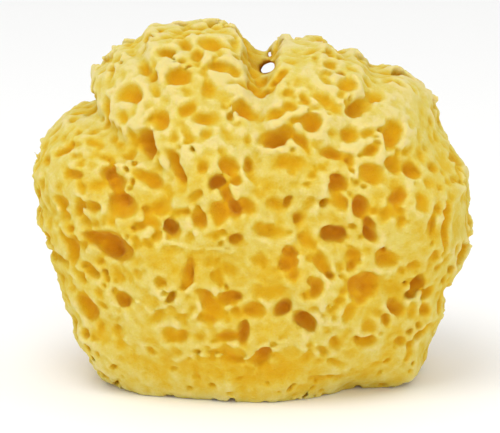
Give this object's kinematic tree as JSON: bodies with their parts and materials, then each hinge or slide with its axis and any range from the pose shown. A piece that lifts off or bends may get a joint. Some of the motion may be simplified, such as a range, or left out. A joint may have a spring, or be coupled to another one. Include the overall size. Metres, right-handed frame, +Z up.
{
  "type": "sea sponge",
  "caption": "Lobed dome of a honeycomb bath sponge with a deep cleft between its top lobes, open pores all over and a flat cut root to stand on.",
  "frame": {"origin": "centre of the sponge's box on the plane of the flat cut root", "axes": "+Z up from the root, +X along the width to the viewer's right, the face of the sponge towards -Y"},
  "size_m": [0.1494, 0.1117, 0.1234],
  "materials": {
    "spongin": "matte"
  },
  "bodies": {
    "root": {"sponge": "spongin"}
  },
  "joints": []
}
